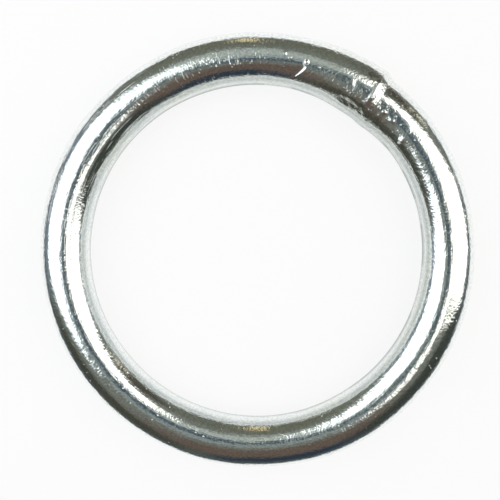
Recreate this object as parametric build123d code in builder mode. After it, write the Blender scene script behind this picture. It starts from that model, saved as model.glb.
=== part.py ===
from build123d import *

import os
from math import cos, degrees, pi, radians, sin, sqrt

# A round steel wire bent to a circle and butt-welded shut: one piece, lying flat.
# The origin is the centre of the eye, level with the wire's centreline, and +Z is the ring's axis.
# Sizes are in millimetres. A place on the wire is an azimuth, in degrees from +X towards +Y, and
# a lean, in degrees from the wire's top towards the outside of the ring.

# The ring
wire_diameter = 6.0
inside_diameter = 40.0

# The upset: both ends swelled as they were pushed together hot, the wire's radius grew by so much, and
# it comes back to the plain wire over so far on each side
weld_azimuth = 52.5
upset_swell = 0.3
near_taper = 6.5
far_taper = 11.0
taper_stations = 5

# The step: how far the far end's centre stands outside the near end's, where they meet
end_mismatch = 0.15

# The flash: the low rounded rib of squeezed-out metal round the weld line
flash_width = 0.9
flash_height = 0.08

# The nick: the crescent that a tool's round edge left across the upper side
nick_azimuth = 73.4
nick_sweep = 4.2
nick_outer_lean = -4.5
nick_inner_lean = -49.5
nick_bow = 0.1
nick_width = 0.5
nick_depth = 0.1

# The pits: round dints, each (azimuth, lean)
pit_diameter = 0.6
pit_depth = 0.1
pit_places = [(74.2, -3.0)]

# The spatter: beads of weld metal that stuck to the wire, each (azimuth, lean)
bead_diameter = 0.8
bead_height = 0.14
bead_places = [(37.7, -32.0), (55.2, 22.0)]

wire_radius = wire_diameter / 2
centreline_radius = inside_diameter / 2 + wire_radius
taper_angle = {-1: degrees(near_taper / centreline_radius), 1: degrees(far_taper / centreline_radius)}


def cut_across(azimuth):
    """The plane that cuts the wire square at an azimuth: its x runs outwards, and its y up."""
    return Plane.XZ.rotated((0, 0, azimuth))


def cross_section(azimuth, side):
    """The wire's centre, as a distance from the ring's axis, and its radius: side -1 is the near end."""
    share = min(abs(azimuth - weld_azimuth) / taper_angle[side], 1)
    swelled = cos(pi / 2 * share) ** 2
    centre = centreline_radius + side * end_mismatch / 2 * swelled
    return centre, wire_radius + upset_swell * swelled


def on_wire(azimuth, lean, above=0.0):
    """The point on the wire's surface, or so far above it, at a place."""
    centre, radius = cross_section(azimuth, 1 if azimuth > weld_azimuth else -1)
    reach = radius + above
    local = (centre + reach * sin(radians(lean)), reach * cos(radians(lean)))
    return cut_across(azimuth).from_local_coords(local)


def arc_radius(chord, rise):
    """The radius of the arc that rises so far over a chord."""
    return (chord**2 / 4 + rise**2) / (2 * rise)


with BuildPart() as ring:
    # The plain wire, bent round from one end of the upset to the other
    with BuildLine():
        bend = CenterArc(
            (0, 0), centreline_radius, weld_azimuth + taper_angle[1], 360 - sum(taper_angle.values())
        )
    with BuildSketch(Plane(origin=bend @ 0, z_dir=bend % 0)):
        Circle(wire_radius)
    sweep()

    # The upset: each end lofted from the plain wire up to its swelled face at the weld line
    for side in (-1, 1):
        for station in range(taper_stations + 1):
            azimuth = weld_azimuth + side * taper_angle[side] * (1 - station / taper_stations)
            centre, radius = cross_section(azimuth, side)
            with BuildSketch(cut_across(azimuth)):
                with Locations(Location((centre, 0, 0), (0, 0, 180))):
                    Circle(radius)  # starts on the ring's inner side, as the plain wire's circle does
        loft()

    # The flash: a lens of metal turned about the wire's own axis at the weld line
    rib_radius = arc_radius(flash_width, flash_height)
    hidden_half = sqrt(rib_radius**2 - (rib_radius - 2 * flash_height) ** 2)
    weld_plane = Plane.XY.rotated((0, 0, weld_azimuth))
    with BuildSketch(weld_plane):
        with BuildLine():
            rib_foot = centreline_radius + wire_radius + upset_swell - flash_height
            ThreePointArc(
                (rib_foot, -hidden_half), (rib_foot + 2 * flash_height, 0), (rib_foot, hidden_half)
            )
            Line((rib_foot, hidden_half), (rib_foot, -hidden_half))
        make_face()
    wire_axis = Axis(weld_plane.from_local_coords((centreline_radius, 0)), weld_plane.y_dir)
    revolve(axis=wire_axis)

    # The spatter
    bead_sphere = arc_radius(bead_diameter, bead_height)
    with Locations(*[on_wire(azimuth, lean, bead_height - bead_sphere) for azimuth, lean in bead_places]):
        Sphere(bead_sphere)

    # The pits
    pit_sphere = arc_radius(pit_diameter, pit_depth)
    with Locations(*[on_wire(azimuth, lean, pit_sphere - pit_depth) for azimuth, lean in pit_places]):
        Sphere(pit_sphere, mode=Mode.SUBTRACT)

    # The nick: a round edge swept along an arc that dips into the wire and out again
    tool_radius = arc_radius(nick_width, nick_depth)
    clear_of_wire = tool_radius + nick_depth
    nick_middle_lean = (nick_outer_lean + nick_inner_lean) / 2
    nick_middle_azimuth = nick_azimuth + nick_sweep / 2 - degrees(nick_bow / centreline_radius)
    with BuildLine():
        nick_path = ThreePointArc(
            on_wire(nick_azimuth, nick_outer_lean, clear_of_wire),
            on_wire(nick_middle_azimuth, nick_middle_lean, tool_radius - nick_depth),
            on_wire(nick_azimuth + nick_sweep, nick_inner_lean, clear_of_wire),
        )
    with BuildSketch(Plane(origin=nick_path @ 0, z_dir=nick_path % 0)):
        Circle(tool_radius)
    sweep(path=nick_path, mode=Mode.SUBTRACT)

ring.part.label = "ring"
os.makedirs("parts", exist_ok=True)
export_step(ring.part, "parts/ring.step")
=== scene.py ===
import math

import bpy
import numpy as np
from mathutils import Matrix, Vector


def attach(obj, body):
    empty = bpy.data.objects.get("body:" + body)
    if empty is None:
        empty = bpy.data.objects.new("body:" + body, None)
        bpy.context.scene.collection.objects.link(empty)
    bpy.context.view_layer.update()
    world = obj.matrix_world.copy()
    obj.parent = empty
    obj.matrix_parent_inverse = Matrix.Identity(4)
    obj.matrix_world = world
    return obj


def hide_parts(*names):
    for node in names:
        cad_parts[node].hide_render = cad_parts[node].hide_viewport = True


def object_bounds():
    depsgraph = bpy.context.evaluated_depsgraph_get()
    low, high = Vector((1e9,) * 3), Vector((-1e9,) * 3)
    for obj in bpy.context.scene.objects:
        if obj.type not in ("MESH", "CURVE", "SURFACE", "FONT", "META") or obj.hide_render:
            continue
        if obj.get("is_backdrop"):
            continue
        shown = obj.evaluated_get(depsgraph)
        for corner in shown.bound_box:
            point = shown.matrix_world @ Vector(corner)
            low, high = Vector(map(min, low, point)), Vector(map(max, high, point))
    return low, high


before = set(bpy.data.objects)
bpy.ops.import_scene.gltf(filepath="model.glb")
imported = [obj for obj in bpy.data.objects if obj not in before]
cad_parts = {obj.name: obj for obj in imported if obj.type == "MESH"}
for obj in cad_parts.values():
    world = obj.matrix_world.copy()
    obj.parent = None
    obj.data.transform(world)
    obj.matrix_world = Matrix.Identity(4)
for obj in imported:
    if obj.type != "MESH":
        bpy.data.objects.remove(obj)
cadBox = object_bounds()
print("stage 1: the CAD ring is loaded")

mm = 0.001  # the scene is in metres, and the sizes below are in millimetres


# sRGB hex turned to linear: a channel over 0.04045 is ((c + 0.055) / 1.055) to the power 2.4
def linearColour(hexColour, alpha=1.0):
    channels = [int(hexColour[i : i + 2], 16) / 255 for i in (1, 3, 5)]
    return [c / 12.92 if c <= 0.04045 else ((c + 0.055) / 1.055) ** 2.4 for c in channels] + [alpha]


# Adds one node: its own settings by name, then its inputs, each a value or a socket to link from
def addNode(tree, kind, inputs=None, **settings):
    node = tree.nodes.new(kind)
    for name, value in settings.items():
        setattr(node, name, value)
    for key, value in (inputs or {}).items():
        if isinstance(value, bpy.types.NodeSocket):
            tree.links.new(value, node.inputs[key])
        else:
            node.inputs[key].default_value = value
    return node


# Starts a material with nothing but its output
def emptyMaterial(name):
    material = bpy.data.materials.new(name)
    material.use_nodes = True
    material.node_tree.nodes.clear()
    return material, material.node_tree


# The ring's shape, in millimetres and degrees
ringShape = {
    "wireRadius": 3.0,
    "centrelineRadius": 23.0,
    "columns": 640,  # round the ring
    "rows": 154,  # round the wire
    "denseAzimuth": 59.0,  # the columns crowd here, over the weld and the nick
    "denseHalfWidth": 25.0,
    "denseGain": 6.0,
    "denseRowGain": 2.5,  # the rows crowd on the upper side
    "waviness": 0.03,  # how far bending left the wire off a true circle
    "wavinessLength": 17.0,
    "unevenness": 0.006,  # and off a smooth one
    "unevennessLength": 3.5,
}
weldShape = {
    "azimuth": 52.5,
    # how far along the wire each side takes to swell, how much it swells, and how far it stands off centre
    "nearSide": (6.5, 0.11, -0.24),
    "farSide": (11.0, 0.31, 0.02),
    "rampMiddle": -0.1,
    "rampLength": 1.05,  # the far end stands over the near end, and an even ramp joins them
    "lineWander": 0.1,
    "lineWanderLength": 5.0,
    "flashAlong": 0.4,  # the flash lies at the ramp's head
    "flashWidth": 0.3,
    "flashHeight": 0.05,
    "flashLean": 40.0,  # the flash is highest at this lean, and was rubbed down on the opposite side
    "flashUnevenness": 0.35,
    "flashUnevennessLength": 1.7,
    "workedLength": 4.0,  # how far from the line the metal was hammered down
    "lumpiness": 0.012,
    "lumpinessLength": 3.0,
    "roughness": 0.006,
    "roughnessLength": 0.9,
}
# Soft lumps and hollows, each (azimuth, lean, half length along, half width across, height)
lumps = [
    (57.5, 48.0, 1.8, 1.0, 0.05),
    (54.8, 21.6, 0.25, 0.25, 0.05),
    (56.0, 17.0, 0.2, 0.2, 0.03),
    (58.0, -48.0, 2.1, 0.55, -0.12),
    (58.5, -13.0, 3.2, 0.6, -0.08),
    (46.0, -25.0, 3.0, 1.6, -0.1),
    (47.5, -4.5, 2.8, 0.5, -0.065),
    (52.0, 38.0, 0.45, 0.4, 0.07),
    (47.5, -13.9, 0.3, 0.25, 0.05),
    (46.2, -16.0, 0.3, 0.2, -0.04),
    (44.2, -17.1, 0.3, 0.25, 0.05),
    (47.8, -27.4, 0.25, 0.25, 0.04),
    (38.5, -3.9, 0.22, 0.22, 0.04),
    (37.7, -32.1, 0.3, 0.3, 0.14),
    (77.9, -26.8, 0.75, 0.6, -0.05),
    (80.8, 6.1, 0.2, 0.25, 0.04),
    (79.1, -2.7, 0.2, 0.2, 0.03),
    (97.0, -21.0, 7.0, 0.9, 0.06),
    (148.0, -15.5, 7.0, 0.65, -0.02),
    (143.0, -29.0, 4.5, 0.5, 0.05),
    (150.0, -37.0, 3.5, 0.12, -0.03),
]
# Curved cuts left by a tool's edge: one end, the middle and the other end as (azimuth, lean), then the half
# width, the depth, and the height of the burr along one side
cuts = [
    {
        "path": [(74.5, -13.0), (75.8, -27.0), (77.8, -44.0)],
        "halfWidth": 0.2,
        "depth": 0.06,
        "burr": 0.004,
    },
    {
        "path": [(72.0, -20.5), (72.6, -26.5), (73.8, -33.0)],
        "halfWidth": 0.05,
        "depth": 0.012,
        "burr": 0.004,
    },
    {
        "path": [(59.9, 1.5), (59.5, -4.0), (59.1, -11.5)],
        "halfWidth": 0.06,
        "depth": 0.05,
        "burr": 0.02,
    },
]
gentleWall = 2.2  # a cut's gentle wall reaches this many times as far out as its half width
burrAway = 2.0  # and its burr lies this many half widths from its middle
pitShape = {
    "azimuth": 74.2,
    "lean": -3.0,
    "radius": 0.17,
    "depth": 0.15,
    "rimHeight": 0.012,
    "rimAt": 1.9,  # in radii of the pit
    "rimWidth": 0.6,
}
# Wear of the plate: full on the weld, then fading along the wire, with ragged patches that reach further
weldWear = {"strength": 1.25, "length": 4.2, "patches": 0.35, "patchesLength": 6.0, "patchSize": 3.0}
# Each noise has a seed of its own, so one can change without the others
seeds = {
    "waviness": 3,
    "unevenness": 4,
    "flash": 5,
    "weldLine": 8,
    "lumpiness": 11,
    "roughness": 12,
    "wear": 21,
}


# Positions from 0 to 1 that crowd where the density is high: even steps of the density's running sum
def crowded(count, density):
    fine = np.linspace(0, 1, 4001)
    total = np.concatenate([[0], np.cumsum((density(fine)[1:] + density(fine)[:-1]) / 2)])
    return np.interp(np.linspace(0, total[-1], count + 1), total, fine)[:-1]


# Smooth noise at points: many sine waves of about one length in seeded directions, their sum divided by the
# root of half their number, so that it mostly stays between -2 and 2
def waveNoise(points, length, seed, waves=24):
    rng = np.random.default_rng(seed)
    directions = rng.normal(size=(waves, 3))
    directions /= np.linalg.norm(directions, axis=1, keepdims=True)
    steps = 2 * np.pi / length * rng.uniform(0.6, 1.4, waves)
    phases = rng.uniform(0, 2 * np.pi, waves)
    total = sum(np.sin(points @ (d * k) + p) for d, k, p in zip(directions, steps, phases))
    return total / np.sqrt(waves / 2)


# How far points lie from a place on the wire, in millimetres along it and across it
def fromPlace(azimuth, lean, atAzimuth, atLean):
    along = (np.degrees(azimuth) - atAzimuth + 180) % 360 - 180
    across = (np.degrees(lean) - atLean + 180) % 360 - 180
    return np.radians(along) * ringShape["centrelineRadius"], np.radians(across) * ringShape["wireRadius"]


# A cut: a groove along a parabola through three places. In the frame of its ends, the parabola is
# bow (1 - t squared), and the cut fades out as t to the eighth. Across it, the groove falls off as the sixth
# power on the side of lower azimuth, where the burr lies too, and as a wider bell curve on the other
def cutHeight(azimuth, lean, cut):
    start, middle, end = cut["path"]
    along, across = fromPlace(azimuth, lean, *middle)
    ends = [np.array(fromPlace(np.radians(a), np.radians(b), *middle)) for a, b in (start, end)]
    halfway, halfChord = (ends[0] + ends[1]) / 2, (ends[1] - ends[0]) / 2
    reach = np.hypot(*halfChord)
    t = ((along - halfway[0]) * halfChord[0] + (across - halfway[1]) * halfChord[1]) / reach**2
    off = ((along - halfway[0]) * halfChord[1] - (across - halfway[1]) * halfChord[0]) / reach
    bow = (-halfway[0] * halfChord[1] + halfway[1] * halfChord[0]) / reach
    off = (off - bow * (1 - t**2)) / cut["halfWidth"]
    side = -np.sign(halfChord[1])
    wall = np.where(off * side > 0, np.abs(off) ** 6, (off / gentleWall) ** 2)
    shape = cut["burr"] * np.exp(-((off - burrAway * side) ** 2)) - cut["depth"] * np.exp(-wall)
    return np.exp(-(t**8)) * shape


# How far the surface stands out from the plain wire, and how far the wire's centre moves out. The upset is a
# squared cosine along the wire, the step an even ramp, and flash, lumps and pit are bell curves. The flash
# also goes round the wire as ((1 + cosine) / 2) squared, from full at its own lean to none opposite
def ringHeights(azimuth, lean):
    plain = ringShape["centrelineRadius"] + ringShape["wireRadius"] * np.sin(lean)
    points = np.stack(
        [plain * np.cos(azimuth), plain * np.sin(azimuth), ringShape["wireRadius"] * np.cos(lean)], axis=-1
    )
    along = fromPlace(azimuth, lean, weldShape["azimuth"], 0)[0]
    nearLength, nearSwell, nearShift = weldShape["nearSide"]
    farLength, farSwell, farShift = weldShape["farSide"]
    wander = waveNoise(points, weldShape["lineWanderLength"], seeds["weldLine"])
    line = along + weldShape["lineWander"] * wander
    farShare = np.clip(0.5 + (line - weldShape["rampMiddle"]) / weldShape["rampLength"], 0, 1)
    swelled = np.cos(np.pi / 2 * np.clip(np.maximum(-along / nearLength, along / farLength), 0, 1)) ** 2
    shift = (nearShift + (farShift - nearShift) * farShare) * swelled
    height = (nearSwell + (farSwell - nearSwell) * farShare) * swelled
    for kind in ("waviness", "unevenness"):
        height = height + ringShape[kind] * waveNoise(points, ringShape[kind + "Length"], seeds[kind])
    strength = ((1 + np.cos(lean - np.radians(weldShape["flashLean"]))) / 2) ** 2
    patchy = waveNoise(points, weldShape["flashUnevennessLength"], seeds["flash"])
    strength = strength * (1 + weldShape["flashUnevenness"] * patchy)
    fromFlash = (line - weldShape["flashAlong"]) / weldShape["flashWidth"]
    height = height + weldShape["flashHeight"] * strength * np.exp(-(fromFlash**2))
    worked = np.exp(-((along / weldShape["workedLength"]) ** 2))
    for kind in ("lumpiness", "roughness"):
        noise = waveNoise(points, weldShape[kind + "Length"], seeds[kind])
        height = height + weldShape[kind] * noise * worked
    for atAzimuth, atLean, halfLength, halfWidth, rise in lumps:
        s, q = fromPlace(azimuth, lean, atAzimuth, atLean)
        height = height + rise * np.exp(-((s / halfLength) ** 2) - (q / halfWidth) ** 2)
    for cut in cuts:
        height = height + cutHeight(azimuth, lean, cut)
    s, q = fromPlace(azimuth, lean, pitShape["azimuth"], pitShape["lean"])
    away = np.hypot(s, q) / pitShape["radius"]
    height = height - pitShape["depth"] * np.exp(-(away**2))
    fromRim = (away - pitShape["rimAt"]) / pitShape["rimWidth"]
    height = height + pitShape["rimHeight"] * np.exp(-(fromRim**2))
    return height, shift, along, points


# The ring: a circle round the wire at each azimuth, its radius the plain wire's plus the height above.
# A point is (c + shift + r sin lean) out from the axis and r cos lean up
def ringSurface():
    def columnDensity(x):
        off = (x * 360 + weldShape["azimuth"] - ringShape["denseAzimuth"] + 180) % 360 - 180
        return 1 + ringShape["denseGain"] * np.exp(-((off / ringShape["denseHalfWidth"]) ** 4))

    def rowDensity(x):
        return 1 + ringShape["denseRowGain"] * np.sin(np.pi * x) ** 2

    u = crowded(ringShape["columns"], columnDensity)  # the first column lies on the weld
    v = crowded(ringShape["rows"], rowDensity)  # the first row lies underneath
    azimuth, lean = np.meshgrid(
        np.radians(weldShape["azimuth"]) + 2 * np.pi * u, 2 * np.pi * v - np.pi, indexing="ij"
    )
    height, shift, along, points = ringHeights(azimuth, lean)
    radius = ringShape["wireRadius"] + height
    out = ringShape["centrelineRadius"] + shift + radius * np.sin(lean)
    vertices = np.stack([out * np.cos(azimuth), out * np.sin(azimuth), radius * np.cos(lean)], axis=-1)
    columns, rows = azimuth.shape
    index = np.arange(columns * rows).reshape(columns, rows)
    nextColumn, nextRow = np.roll(index, -1, axis=0), np.roll(index, -1, axis=1)
    corner = np.roll(nextColumn, -1, axis=1)
    faces = np.stack([index, nextRow, corner, nextColumn], axis=-1).reshape(-1, 4)
    # the map is in millimetres: along the wire from the weld, and round it from underneath
    uEnd, vEnd = np.append(u, 1.0), np.append(v, 1.0)
    lengthRound = 2 * np.pi * ringShape["centrelineRadius"]
    lengthAcross = 2 * np.pi * ringShape["wireRadius"]
    mapU, mapV = np.meshgrid(uEnd * lengthRound, vEnd * lengthAcross, indexing="ij")
    first, last = slice(0, -1), slice(1, None)
    corners = [(first, first), (first, last), (last, last), (last, first)]
    uvs = np.stack([np.stack([mapU[c], mapV[c]], axis=-1) for c in corners], axis=2).reshape(-1, 2)
    patchy = waveNoise(points, weldWear["patchSize"], seeds["wear"])
    wear = weldWear["strength"] * np.exp(-((along / weldWear["length"]) ** 2))
    wear = wear + weldWear["patches"] * patchy * np.exp(-((along / weldWear["patchesLength"]) ** 2))
    return vertices.reshape(-1, 3) * mm, faces, uvs, np.clip(wear, 0, 1).reshape(-1)


def buildRing():
    vertices, faces, uvs, wear = ringSurface()
    mesh = bpy.data.meshes.new("weldedRing")
    mesh.vertices.add(len(vertices))
    mesh.vertices.foreach_set("co", vertices.ravel())
    mesh.loops.add(faces.size)
    mesh.loops.foreach_set("vertex_index", faces.ravel())
    mesh.polygons.add(len(faces))
    mesh.polygons.foreach_set("loop_start", np.arange(0, faces.size, 4))
    mesh.update(calc_edges=True)
    mesh.uv_layers.new(name="wireMap").data.foreach_set("uv", uvs.ravel())
    mesh.attributes.new("weldWear", "FLOAT", "POINT").data.foreach_set("value", wear)
    mesh.polygons.foreach_set("use_smooth", np.ones(len(faces), bool))
    mesh.validate()
    ring = bpy.data.objects.new("weldedRing", mesh)
    bpy.context.scene.collection.objects.link(ring)
    return ring


# The zinc finish. Its colours are paler than bare zinc, so that the ring's rims match the photograph's
zincFinish = {
    "bright": "#f9fdfb",
    "blueTint": "#f0f7f6",  # the thin passivated film
    "warmTint": "#f9fbf3",
    "paleGrain": "#ffffff",
    "darkGrain": "#e1e8e5",
    "weldTint": "#ecede8",
    "tintLevels": (0.38, 0.5, 0.65),  # of the noise: blue tint, bright, warm tint
    "grainLevels": (0.35, 0.65),  # dark grain, pale grain
    "grainShare": 0.6,
    "roughness": 0.12,
    "tintSize": 7.0,  # sizes in millimetres
    "grainSize": 0.27,  # the plate's own crystals are far finer, and are drawn so that they show
    "grainDepth": 0.02,
    "sparkleSize": 0.2,  # the crystals are coarser on the weld
    "sparkleDepth": 0.018,
    "rippleSize": 1.3,
    "rippleDepth": 0.03,
    "drawLineWidth": 0.2,  # the die's lines along the wire
    "drawLineLength": 3.5,
    "drawLineDepth": 0.012,
    "speckSpacing": 0.9,
    "speckRadius": 0.11,
    "speckHeight": 0.03,
}
# Rubbed marks: where they lie along the wire from the weld, their size along and across it, and their depth.
# Only the peaks of the noise show, between these levels
markLevels = (0.6, 0.7)
rubbedMarks = {
    "crossMarks": {"from": 11.0, "to": 30.0, "size": (0.2, 1.1), "depth": 0.012},
    "longLines": {"from": 26.0, "to": 50.0, "size": (7.0, 0.13), "depth": 0.03},
}


def zincPlatedSteel():
    # Bright zinc plate on drawn wire: a mirror-like metal, broken up by crystals, ripples and specks and by
    # the die's lines along the wire, cooler where the film is thicker, and greyer over the weld
    finish = zincFinish
    material, tree = emptyMaterial("brightZincPlateOnDrawnWire")
    place = addNode(tree, "ShaderNodeTexCoord").outputs["Object"]
    wireMap = addNode(tree, "ShaderNodeUVMap", uv_map="wireMap").outputs["UV"]
    wear = addNode(tree, "ShaderNodeAttribute", attribute_name="weldWear").outputs["Fac"]

    def noise(size, detail=1.0):
        inputs = {"Vector": place, "Scale": 1 / (size * mm), "Detail": detail}
        return addNode(tree, "ShaderNodeTexNoise", inputs).outputs["Fac"]

    def stretchedNoise(along, across):
        inputs = {"Vector": wireMap, "Scale": (1 / along, 1 / across, 1.0)}
        stretched = addNode(tree, "ShaderNodeMapping", inputs).outputs["Vector"]
        return addNode(tree, "ShaderNodeTexNoise", {"Vector": stretched, "Scale": 1.0}).outputs["Fac"]

    def ranged(value, fromMin, fromMax, toMin=0.0, toMax=1.0):
        inputs = {"Value": value, "From Min": fromMin, "From Max": fromMax, "To Min": toMin, "To Max": toMax}
        kind = {"interpolation_type": "SMOOTHSTEP"}
        return addNode(tree, "ShaderNodeMapRange", inputs, **kind).outputs["Result"]

    def mixed(share, first, second):
        inputs = {"Factor": share, "A": first, "B": second}
        return addNode(tree, "ShaderNodeMix", inputs, data_type="RGBA").outputs[2]

    def product(first, second):
        return addNode(tree, "ShaderNodeMath", {0: first, 1: second}, operation="MULTIPLY").outputs[0]

    grain = noise(finish["grainSize"], detail=1.5)
    cells = {"Vector": place, "Scale": 1 / (finish["speckSpacing"] * mm)}
    fromSpeck = addNode(tree, "ShaderNodeTexVoronoi", cells).outputs["Distance"]
    specks = ranged(fromSpeck, 0.0, finish["speckRadius"] / finish["speckSpacing"], 1.0, 0.0)
    reliefs = [
        (noise(finish["rippleSize"]), finish["rippleDepth"]),
        (stretchedNoise(finish["drawLineLength"], finish["drawLineWidth"]), finish["drawLineDepth"]),
        (grain, finish["grainDepth"]),
        (product(noise(finish["sparkleSize"], detail=1.5), wear), finish["sparkleDepth"]),
        (specks, finish["speckHeight"]),
    ]
    along = addNode(tree, "ShaderNodeSeparateXYZ", {"Vector": wireMap}).outputs["X"]
    for marks in rubbedMarks.values():
        fade = (marks["to"] - marks["from"]) / 3
        rising = ranged(along, marks["from"], marks["from"] + fade)
        falling = ranged(along, marks["to"] - fade, marks["to"], 1.0, 0.0)
        sparse = ranged(stretchedNoise(*marks["size"]), *markLevels)
        reliefs.append((product(product(rising, falling), sparse), marks["depth"]))
    normal = None
    for pattern, depth in reliefs:
        inputs = {"Height": pattern, "Strength": 1.0, "Distance": depth * mm}
        if normal is not None:
            inputs["Normal"] = normal
        normal = addNode(tree, "ShaderNodeBump", inputs).outputs["Normal"]

    tint = noise(finish["tintSize"], detail=2.0)
    tones = ("blueTint", "bright", "warmTint", "weldTint", "darkGrain", "paleGrain")
    blue, bright, warm, weld, dark, pale = [linearColour(finish[tone]) for tone in tones]
    low, middle, high = finish["tintLevels"]
    colour = mixed(ranged(tint, low, middle), blue, bright)
    colour = mixed(ranged(tint, middle, high), colour, warm)
    colour = mixed(wear, colour, weld)
    grains = mixed(ranged(grain, *finish["grainLevels"]), dark, pale)
    colour = mixed(finish["grainShare"], colour, grains)
    surface = {"Base Color": colour, "Metallic": 1.0, "Roughness": finish["roughness"], "Normal": normal}
    shader = addNode(tree, "ShaderNodeBsdfPrincipled", surface).outputs["BSDF"]
    addNode(tree, "ShaderNodeOutputMaterial", {"Surface": shader})
    return material


ring = buildRing()
ring.data.materials.append(zincPlatedSteel())
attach(ring, "root")
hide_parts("ring")
print("stage 2: the ring is built,", len(ring.data.polygons) * 2, "triangles")


# The studio: a white sheet, two soft windows of light, and a dim room that only the metal shows
studio = {
    "sheet": "#ffffff",
    "sheetHalfWidth": 2500.0,
    "sheetLift": 0.82,  # how far the paper goes to pure white: more loses the ring's shadow
    "sheetRoughness": 0.8,
    "worldColour": "#f4f5f6",
    "worldStrength": 0.55,
    "windowRadiance": 1.7,
    "roomRadius": 600.0,
    "roomStrength": 1.0,  # the tones below are as the metal shows them
    "flatRingLift": 0.05,  # flat rings lie this far above the sheet
}
# What the metal shows of the floor: a dark flat ring outside an oval of the sheet, a painted dark reflection
# where the camera sees white sheet, and painted soft shade on the sheet: the camera's own in the middle of
# the ring, and the wire's by its foot. Each shade starts at the first radius round its middle, is full
# between the next two, and ends at the last
floorInMetal = {
    "tone": "#4d5356",
    "ovalMiddle": (5.0, 40.0),
    "ovalHalfWidths": (70.0, 80.0),
    "shadeTone": "#8e9894",
    "shades": [
        {"name": "cameraShadow", "middle": (1.0, 1.6), "radii": (0.5, 1.0, 7.0, 20.5), "share": 0.6},
        {"name": "footShadow", "middle": (-1.2, -1.0), "radii": (16.5, 21.0, 21.5, 23.0), "share": 0.75},
    ],
}
# The camera's own dark body, level above the ring
cameraShade = {"height": 160.0, "radius": 23.0, "tone": "#43505a"}
# Places here are directions from the ring: (azimuth, elevation) in degrees
windows = {
    "leftWindow": {
        "middle": (168.0, 42.0),
        "distance": 115.0,
        "corners": [
            (120, 66), (125, 57), (137, 28), (150, 20), (182, 18), (193, 24),
            (215, 54), (206, 70), (180, 74), (150, 76), (125, 70),
        ],
        "tone": "#f5faff",
    },
    "rightWindow": {
        "middle": (6.0, 42.0),
        "distance": 190.0,
        "corners": [
            (-60, 66), (-45, 63), (-25, 58), (-22, 36), (-17, 14), (2, 9), (19, 13), (30, 30),
            (45, 47), (64, 51), (64, 70), (18, 73), (-15, 76), (-45, 79), (-64, 76),
        ],
        "tone": "#fffcf6",
    },
}
# Each patch of the room: its middle, how far it reaches before it fades, and its tone
roomBase = "#70746d"
roomPatches = [
    ((112.0, 74.0), 29.0, "#a3aaa4"),  # pale wall behind, high up
    ((95.0, 5.0), 45.0, "#66685c"),  # its olive foot
    ((272.0, 38.0), 36.0, "#62554d"),  # brown hangings in front
    ((170.0, 2.0), 34.0, "#76808a"),  # slate below the windows
    ((358.0, 0.0), 29.0, "#646e74"),
    ((225.0, 8.0), 36.0, "#45453d"),
    ((318.0, 16.0), 34.0, "#3b3f3b"),
    ((275.0, 8.0), 26.0, "#303a45"),  # a navy cloth below the hangings
    ((49.0, 22.0), 16.0, "#4b473f"),  # a dark doorway
    ((0.0, 90.0), 16.0, "#868f8e"),  # the dimmer ceiling overhead
]
# Small bright or dark things: a middle, half sizes in degrees, a distance and a tone
smallThings = {
    "farLamp": {"middle": (95.0, 12.0), "halfSizes": (2.2, 9.0), "distance": 450.0, "tone": "#f3dfae"},
    "sideLamp": {"middle": (38.5, 16.0), "halfSizes": (1.9, 7.0), "distance": 450.0, "tone": "#fff4dc"},
    "doorGap": {"middle": (17.5, 2.0), "halfSizes": (1.2, 4.0), "distance": 450.0, "tone": "#f4f8f8"},
    "windowBar": {"middle": (-24.0, 59.5), "halfSizes": (16.0, 2.2), "distance": 150.0, "tone": "#3b4346"},
}


# A unit direction from an azimuth and an elevation in degrees
def direction(azimuth, elevation):
    a, e = math.radians(azimuth), math.radians(elevation)
    return Vector((math.cos(e) * math.cos(a), math.cos(e) * math.sin(a), math.sin(e)))


# Turns a camera so that its own z points along "back", with its own y as near to "up" as it can be
def aimed(back, up):
    right = up.cross(back).normalized()
    return Matrix((right, back.cross(right), back)).transposed().to_euler()


def glow(name, tone, strength):
    material, tree = emptyMaterial(name)
    light = addNode(tree, "ShaderNodeEmission", {"Color": linearColour(tone), "Strength": strength})
    addNode(tree, "ShaderNodeOutputMaterial", {"Surface": light.outputs["Emission"]})
    return material


def addStageMesh(name, vertices, faces, material, seenBy):
    mesh = bpy.data.meshes.new(name)
    mesh.from_pydata([tuple(v) for v in vertices], [], faces)
    mesh.materials.append(material)
    thing = bpy.data.objects.new(name, mesh)
    bpy.context.scene.collection.objects.link(thing)
    for ray in ("camera", "diffuse", "glossy", "transmission", "volume_scatter", "shadow"):
        setattr(thing, "visible_" + ray, ray in seenBy)
    thing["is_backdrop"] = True
    return thing


# A flat panel square to its middle direction, its corners where their directions meet that plane
def addPanel(name, middle, corners, distance, material, seenBy):
    facing = direction(*middle)
    rays = [direction(*corner) for corner in corners]
    vertices = [ray * (distance * mm / ray.dot(facing)) for ray in rays]
    return addStageMesh(name, vertices, [tuple(range(len(corners)))], material, seenBy)


def roomMaterial():
    # Walls, hangings and ceiling out of focus: soft patches of tone laid over one another by direction
    material, tree = emptyMaterial("dimRoom")
    place = addNode(tree, "ShaderNodeTexCoord").outputs["Object"]
    unit = addNode(tree, "ShaderNodeVectorMath", {0: place}, operation="NORMALIZE").outputs[0]
    tone = linearColour(roomBase)
    for middle, reach, patchTone in roomPatches:
        nearness = addNode(
            tree, "ShaderNodeVectorMath", {0: unit, 1: direction(*middle)}, operation="DOT_PRODUCT"
        ).outputs["Value"]
        share = addNode(
            tree,
            "ShaderNodeMapRange",
            {
                "Value": nearness,
                "From Min": math.cos(math.radians(reach)),
                "From Max": math.cos(math.radians(reach / 2)),
            },
            interpolation_type="SMOOTHSTEP",
        ).outputs["Result"]
        tone = addNode(
            tree,
            "ShaderNodeMix",
            {"Factor": share, "A": tone, "B": linearColour(patchTone)},
            data_type="RGBA",
        ).outputs[2]
    light = addNode(tree, "ShaderNodeEmission", {"Color": tone, "Strength": studio["roomStrength"]})
    addNode(tree, "ShaderNodeOutputMaterial", {"Surface": light.outputs["Emission"]})
    return material


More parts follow.
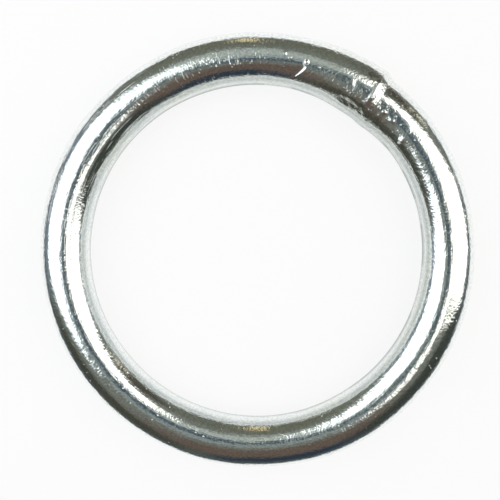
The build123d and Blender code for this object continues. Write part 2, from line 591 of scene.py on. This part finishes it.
# 1 for the camera's own rays and for those that a shiny or clear surface sends on, else 0
def seenDirectly(tree):
    rays = addNode(tree, "ShaderNodeLightPath").outputs
    seen = rays["Is Camera Ray"]
    for other in ("Is Glossy Ray", "Is Transmission Ray"):
        inputs = {0: seen, 1: rays[other]}
        seen = addNode(tree, "ShaderNodeMath", inputs, operation="MAXIMUM").outputs[0]
    return seen


def sheetMaterial():
    # Matt white paper, lifted towards pure white for the camera and for the metal, with the shadow kept
    material, tree = emptyMaterial("mattWhitePaper")
    white = linearColour(studio["sheet"])
    matt = {"Base Color": white, "Roughness": studio["sheetRoughness"]}
    paper = addNode(tree, "ShaderNodeBsdfPrincipled", matt).outputs["BSDF"]
    lifted = addNode(tree, "ShaderNodeEmission", {"Color": white, "Strength": 1.0}).outputs["Emission"]
    inputs = {0: seenDirectly(tree), 1: studio["sheetLift"]}
    share = addNode(tree, "ShaderNodeMath", inputs, operation="MULTIPLY").outputs[0]
    surface = addNode(tree, "ShaderNodeMixShader", {0: share, 1: paper, 2: lifted}).outputs["Shader"]
    addNode(tree, "ShaderNodeOutputMaterial", {"Surface": surface})
    return material


# A grid that closes on itself along its second direction, as quads
def closedGridFaces(rows, columns):
    index = np.arange(rows * columns).reshape(rows, columns)
    turned = np.roll(index, -1, axis=1)
    return np.stack([index[:-1], turned[:-1], turned[1:], index[1:]], axis=-1).reshape(-1, 4).tolist()


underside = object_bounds()[0][2]
reach = studio["sheetHalfWidth"] * mm
sheetCorners = [(x * reach, y * reach, underside) for x, y in ((-1, -1), (1, -1), (1, 1), (-1, 1))]
seenByAll = ("camera", "diffuse", "glossy", "transmission", "shadow")
addStageMesh("whiteSheet", sheetCorners, [(0, 1, 2, 3)], sheetMaterial(), seenByAll)

# The room is a dome: at elevation e and azimuth a, a point is (cos e cos a, cos e sin a, sin e) of its
# radius
elevation, azimuth = np.meshgrid(
    np.radians(np.linspace(-1, 90, 25)), np.radians(np.arange(0, 360, 7.5)), indexing="ij"
)
outwards = np.cos(elevation)
dome = np.stack([outwards * np.cos(azimuth), outwards * np.sin(azimuth), np.sin(elevation)], -1)
addStageMesh(
    "room",
    dome.reshape(-1, 3) * studio["roomRadius"] * mm,
    closedGridFaces(*elevation.shape),
    roomMaterial(),
    ("glossy",),
)


# A flat ring just above the sheet: a point is a share of the way from the inner outline to the outer one
def addFlatRing(name, inner, outer, shares, material):
    around = np.radians(np.arange(0, 360, 5.0))
    outlines = [
        np.stack([x + w * np.cos(around), y + h * np.sin(around)], -1) for (x, y), (w, h) in (inner, outer)
    ]
    layers = [outlines[0] + share * (outlines[1] - outlines[0]) for share in shares]
    flat = np.stack(layers)
    heights = np.full(flat.shape[:2] + (1,), underside / mm + studio["flatRingLift"])
    vertices = np.concatenate([flat, heights], -1).reshape(-1, 3) * mm
    faces = closedGridFaces(len(shares), len(around))
    return addStageMesh(name, vertices, faces, material, ("glossy",))


def shadeMaterial(shade):
    # A soft shadow that the lifted paper would lose: darkest between the shade's two middle radii
    material, tree = emptyMaterial(shade["name"])
    place = addNode(tree, "ShaderNodeTexCoord").outputs["Object"]
    x, y = shade["middle"]
    inputs = {0: place, 1: (1, 1, 0), 2: (-x * mm, -y * mm, 0)}
    flat = addNode(tree, "ShaderNodeVectorMath", inputs, operation="MULTIPLY_ADD").outputs[0]
    away = addNode(tree, "ShaderNodeVectorMath", {0: flat}, operation="LENGTH").outputs["Value"]
    starts, full, fades, ends = [radius * mm for radius in shade["radii"]]
    share = shade["share"]
    for low, high, first, last in ((starts, full, 0.0, 1.0), (fades, ends, 1.0, 0.0)):
        inputs = {"Value": away, "From Min": low, "From Max": high, "To Min": first, "To Max": last}
        kind = {"interpolation_type": "SMOOTHSTEP"}
        smooth = addNode(tree, "ShaderNodeMapRange", inputs, **kind).outputs["Result"]
        share = addNode(tree, "ShaderNodeMath", {0: smooth, 1: share}, operation="MULTIPLY").outputs[0]
    clear = addNode(tree, "ShaderNodeBsdfTransparent").outputs["BSDF"]
    tone = linearColour(floorInMetal["shadeTone"])
    dim = addNode(tree, "ShaderNodeEmission", {"Color": tone}).outputs["Emission"]
    surface = addNode(tree, "ShaderNodeMixShader", {0: share, 1: clear, 2: dim}).outputs["Shader"]
    addNode(tree, "ShaderNodeOutputMaterial", {"Surface": surface})
    return material


oval = (floorInMetal["ovalMiddle"], floorInMetal["ovalHalfWidths"])
farAway = ((0.0, 0.0), (studio["roomRadius"],) * 2)
# A dark flat ring outside the oval that only the metal shows: a painted dark reflection, where the camera
# sees white sheet
paintedReflectionGlow = glow("paintedDarkReflectionGlow", floorInMetal["tone"], studio["roomStrength"])
addFlatRing("paintedDarkReflection", oval, farAway, [0.0, 1.0], paintedReflectionGlow)
for shade in floorInMetal["shades"]:
    edges = [(shade["middle"], (shade["radii"][i],) * 2) for i in (0, -1)]
    addFlatRing(shade["name"], *edges, [0.0, 1.0], shadeMaterial(shade))

around = np.radians(np.arange(0, 360, 10.0))
rim = np.stack([np.cos(around), np.sin(around), 0 * around], -1) * cameraShade["radius"] * mm
rim[:, 2] = cameraShade["height"] * mm
bodyGlow = glow("cameraBody", cameraShade["tone"], studio["roomStrength"])
addStageMesh("cameraShade", rim, [tuple(range(len(around)))], bodyGlow, ("glossy",))

for name, thing in smallThings.items():
    (a, e), (w, h) = thing["middle"], thing["halfSizes"]
    corners = [(a - w, e - h), (a + w, e - h), (a + w, e + h), (a - w, e + h)]
    shining = glow(name + "Glow", thing["tone"], studio["roomStrength"])
    addPanel(name, thing["middle"], corners, thing["distance"], shining, ("glossy",))

for name, window in windows.items():
    bright = glow(name + "Glow", window["tone"], studio["windowRadiance"])
    seenBy = ("diffuse", "glossy", "transmission")
    addPanel(name, window["middle"], window["corners"], window["distance"], bright, seenBy)

world = bpy.data.worlds.new("paleSurround")
world.use_nodes = True
world.node_tree.nodes.clear()
levels = {"Value": seenDirectly(world.node_tree), "To Min": studio["worldStrength"], "To Max": 1.0}
level = addNode(world.node_tree, "ShaderNodeMapRange", levels).outputs["Result"]
inputs = {"Color": linearColour(studio["worldColour"]), "Strength": level}
sky = addNode(world.node_tree, "ShaderNodeBackground", inputs)
addNode(world.node_tree, "ShaderNodeOutputWorld", {"Surface": sky.outputs["Background"]})
bpy.context.scene.world = world
bpy.context.scene.view_settings.view_transform = "Standard"
print("stage 3: the studio is lit")

# The camera: close above the ring, leaning a little to the right and the top, as in the photograph
cameraView = {
    "distance": 85.0,
    "leanRight": 3.9,
    "leanUp": 4.1,
    "pixelsPerMillimetre": 8.329,
    "aimRight": -0.432,
    "aimUp": 0.426,
    "sensorWidth": 36.0,
    "pictureWidth": 500,  # in pixels
    "clipStart": 5.0,
}
back = (math.sin(math.radians(cameraView["leanRight"])), math.sin(math.radians(cameraView["leanUp"])), 1.0)
back = Vector(back).normalized()
camera = bpy.data.objects.new("camera", bpy.data.cameras.new("camera"))
camera.data.sensor_width = cameraView["sensorWidth"]
widthSeen = cameraView["pictureWidth"] / cameraView["pixelsPerMillimetre"]
camera.data.lens = cameraView["sensorWidth"] * cameraView["distance"] / widthSeen
camera.data.clip_start = cameraView["clipStart"] * mm
aim = Vector((cameraView["aimRight"], cameraView["aimUp"], 0))
camera.location = (aim + back * cameraView["distance"]) * mm
camera.rotation_euler = aimed(back, Vector((0, 1, 0)))
bpy.context.scene.collection.objects.link(camera)
bpy.context.scene.camera = camera
print("stage 4: the camera is set")

corners = [[list(map(float, corner)) for corner in box] for box in (cadBox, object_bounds())]
